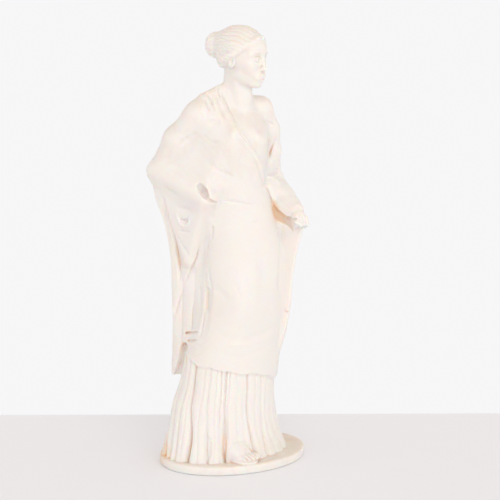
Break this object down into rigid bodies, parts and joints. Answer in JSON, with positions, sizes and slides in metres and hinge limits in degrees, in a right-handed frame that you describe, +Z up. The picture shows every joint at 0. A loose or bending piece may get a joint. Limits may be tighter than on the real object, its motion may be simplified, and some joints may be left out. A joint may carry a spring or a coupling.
{
  "type": "draped woman statue",
  "caption": "Classical white marble statue of a standing woman in a long gown and wrapped mantle, on a low oval plinth.",
  "frame": {"origin": "centre of the oval plinth's flat underside", "axes": "+Z up through the figure, -Y the way the woman's body faces, +X to her left"},
  "size_m": [0.212, 0.162, 0.5992],
  "materials": {
    "marble": "honed white marble with a warm cast"
  },
  "bodies": {
    "root": {"statue": "marble"}
  },
  "joints": []
}
